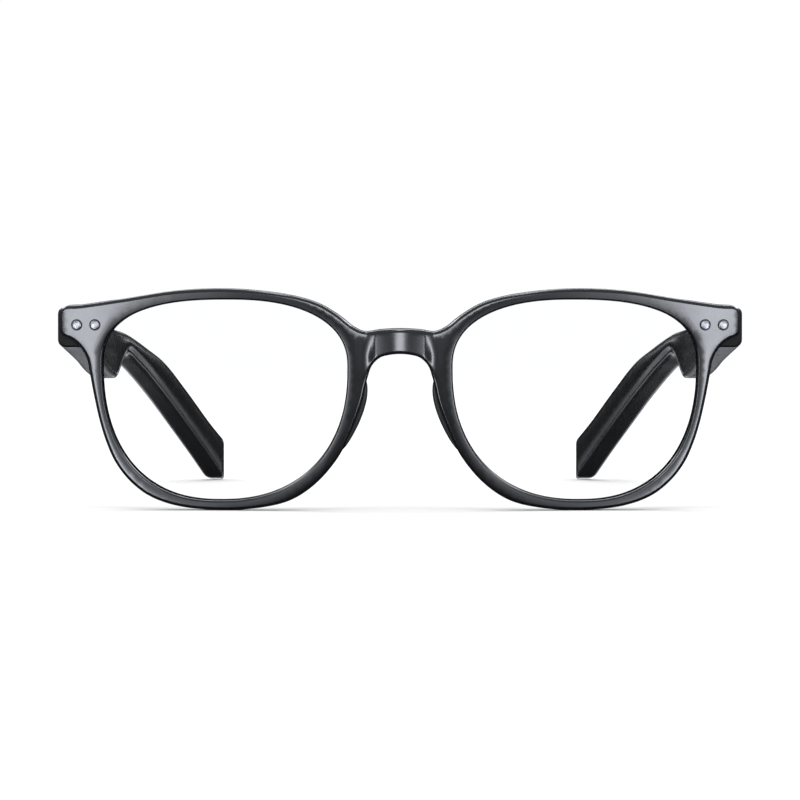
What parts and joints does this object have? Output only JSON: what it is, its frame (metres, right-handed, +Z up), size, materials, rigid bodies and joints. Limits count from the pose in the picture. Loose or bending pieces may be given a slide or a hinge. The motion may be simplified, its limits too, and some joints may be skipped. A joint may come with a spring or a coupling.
{
  "type": "smart glasses",
  "caption": "Black smart audio glasses with clear lenses and thick folding temples that hold the electronics, standing open.",
  "frame": {"origin": "on the table, under the middle of the bounding box of the open glasses", "axes": "+Z up, -Y the way the lenses face, +X towards the wearer's left temple"},
  "size_m": [0.1514, 0.1582, 0.0472],
  "materials": {
    "front_plastic": "satin gloss black",
    "temple_plastic": "satin black",
    "cover_plastic": "fine matte black",
    "pad_rubber": "soft matte black",
    "clear_lens": "clear, coated",
    "rivet_steel": "polished",
    "hinge_steel": "dark satin",
    "speaker_steel": "stamped",
    "board_laminate": "solder mask green",
    "cell_foil": "pouch foil",
    "sensor_film": "amber film",
    "contact_gold": "gold plated",
    "magnet_nickel": "nickel plated"
  },
  "bodies": {
    "front": {"front_frame": "front_plastic", "lens_left": "clear_lens", "lens_right": "clear_lens", "nose_pad_left": "pad_rubber", "nose_pad_right": "pad_rubber", "hinge_plate_left": "hinge_steel", "hinge_plate_right": "hinge_steel", "hinge_screw_left": "hinge_steel", "hinge_screw_right": "hinge_steel", "rivet_left_outer": "rivet_steel", "rivet_right_outer": "rivet_steel", "rivet_left_inner": "rivet_steel", "rivet_right_inner": "rivet_steel"},
    "temple_left": {"temple_case_left": "temple_plastic", "temple_cover_left": "cover_plastic", "temple_hinge_left": "hinge_steel", "leaf_screw_left_front": "hinge_steel", "leaf_screw_left_rear": "hinge_steel", "touch_sensor_left": "sensor_film", "circuit_board_left": "board_laminate", "microphone_left": "rivet_steel", "speaker_left": "speaker_steel", "speaker_grille_left": "hinge_steel", "battery_ribbon_left": "sensor_film", "battery_left": "cell_foil", "charge_pin_left_front": "contact_gold", "charge_pin_left_rear": "contact_gold", "charge_magnet_left": "magnet_nickel"},
    "temple_right": {"temple_case_right": "temple_plastic", "temple_cover_right": "cover_plastic", "temple_hinge_right": "hinge_steel", "leaf_screw_right_front": "hinge_steel", "leaf_screw_right_rear": "hinge_steel", "touch_sensor_right": "sensor_film", "circuit_board_right": "board_laminate", "microphone_right": "rivet_steel", "speaker_right": "speaker_steel", "speaker_grille_right": "hinge_steel", "battery_ribbon_right": "sensor_film", "battery_right": "cell_foil", "charge_pin_right_front": "contact_gold", "charge_pin_right_rear": "contact_gold", "charge_magnet_right": "magnet_nickel"}
  },
  "joints": [
    {"name": "temple_fold_left", "type": "hinge", "parent": "front", "child": "temple_left", "pos_m": [0.0662, -0.06609, 0.0396], "axis": [0, 0, 1], "range_deg": [0, 84]},
    {"name": "temple_fold_right", "type": "hinge", "parent": "front", "child": "temple_right", "pos_m": [-0.0662, -0.06609, 0.0396], "axis": [0, 0, -1], "range_deg": [0, 71]}
  ]
}
